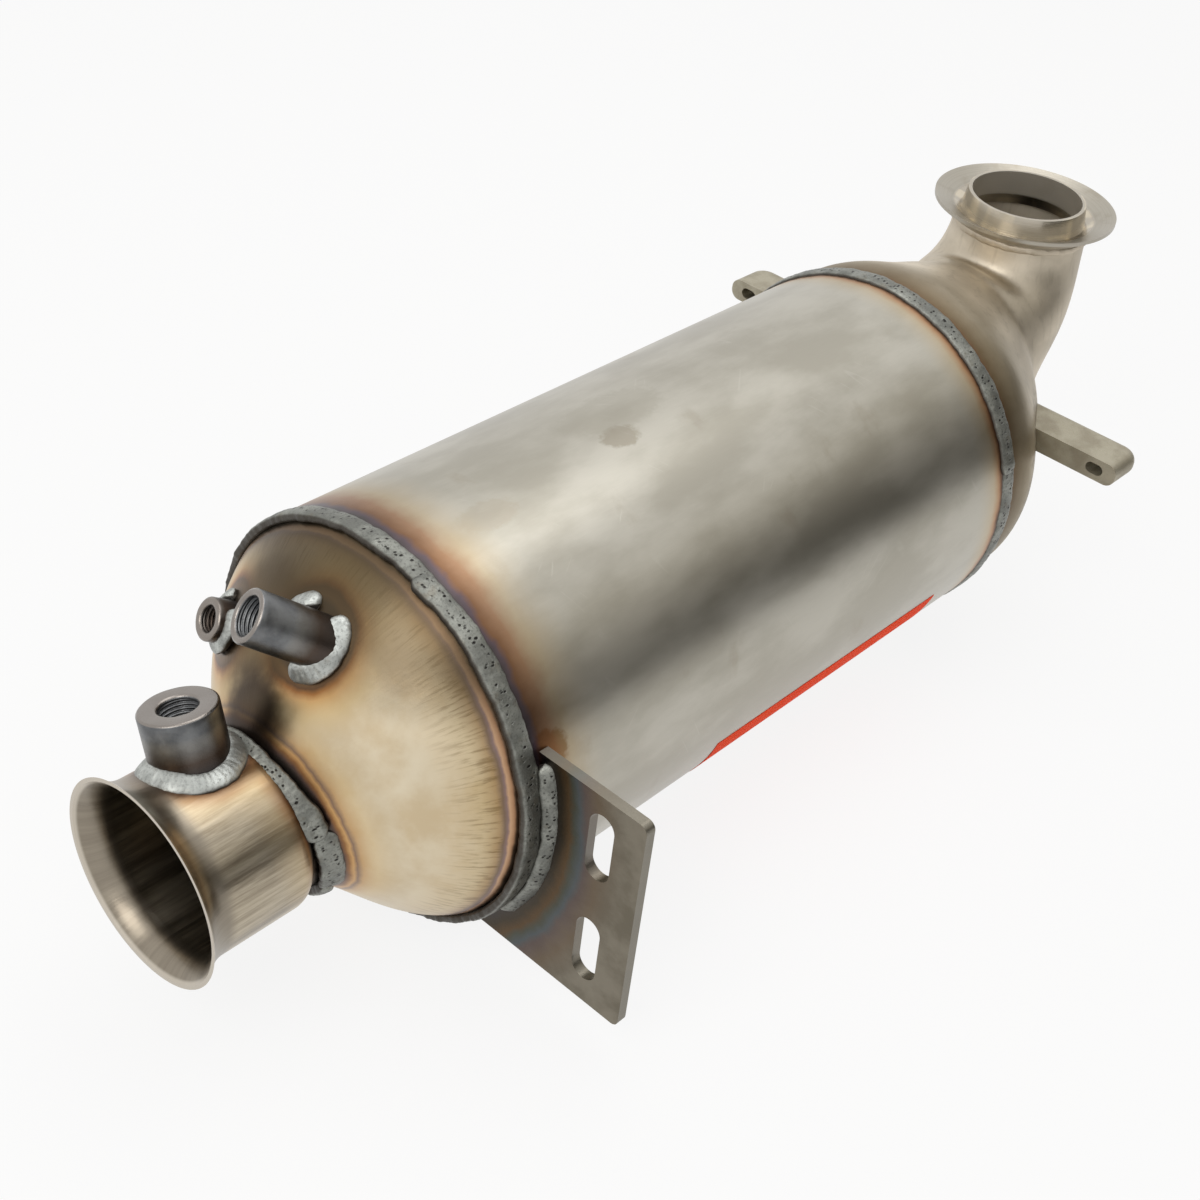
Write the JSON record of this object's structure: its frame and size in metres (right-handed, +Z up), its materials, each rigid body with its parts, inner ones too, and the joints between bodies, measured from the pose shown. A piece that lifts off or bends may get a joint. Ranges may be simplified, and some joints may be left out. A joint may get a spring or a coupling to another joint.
{
  "type": "diesel particulate filter",
  "caption": "Stainless exhaust filter can with an offset flared inlet, an upturned flanged outlet elbow, sensor bosses and a slotted bracket.",
  "frame": {"origin": "on the inlet neck's axis, where its flare ends and its straight bore begins", "axes": "+X along the neck and the can towards the outlet elbow, +Z up along the outlet's axis, +Y to the left of the gas flow"},
  "size_m": [0.5185, 0.221, 0.1681],
  "materials": {
    "brushed_stainless": "lengthwise brushed, light scratches",
    "tinted_stainless": "satin, straw to violet heat tint",
    "neck_stainless": "satin with lengthwise streaks",
    "satin_stainless": "satin pressed sheet",
    "flange_stainless": "turned, polished collar",
    "boss_steel": "dull turned bar",
    "bracket_steel": "mill finish with heat tint",
    "cast_steel": "fine cast skin",
    "weld_metal": "rippled weld bead",
    "label_film": "plain satin film",
    "catalyst_ceramic": "coated honeycomb",
    "filter_ceramic": "bare honeycomb",
    "mat_fibre": "compressed fibre mat"
  },
  "bodies": {
    "root": {"can_shell": "brushed_stainless", "front_cone": "tinted_stainless", "inlet_neck": "neck_stainless", "rear_elbow": "satin_stainless", "outlet_flange": "flange_stainless", "temperature_boss": "boss_steel", "pressure_boss": "boss_steel", "side_boss": "boss_steel", "front_bracket": "bracket_steel", "rear_lug_right": "cast_steel", "rear_lug_left": "cast_steel", "front_ring_weld_upper": "weld_metal", "front_ring_weld_near": "weld_metal", "front_ring_weld_under": "weld_metal", "rear_ring_weld_upper": "weld_metal", "rear_ring_weld_under": "weld_metal", "neck_weld_long": "weld_metal", "neck_weld_short": "weld_metal", "temperature_boss_weld": "weld_metal", "pressure_boss_weld_lower": "weld_metal", "pressure_boss_weld_upper": "weld_metal", "side_boss_weld": "weld_metal", "bracket_weld": "weld_metal", "flange_weld": "weld_metal", "rear_lug_weld_right": "weld_metal", "rear_lug_weld_left": "weld_metal", "can_seam_weld": "weld_metal", "label_strip": "label_film", "oxidation_brick": "catalyst_ceramic", "filter_brick": "filter_ceramic", "oxidation_mat": "mat_fibre", "filter_mat": "mat_fibre"}
  },
  "joints": []
}
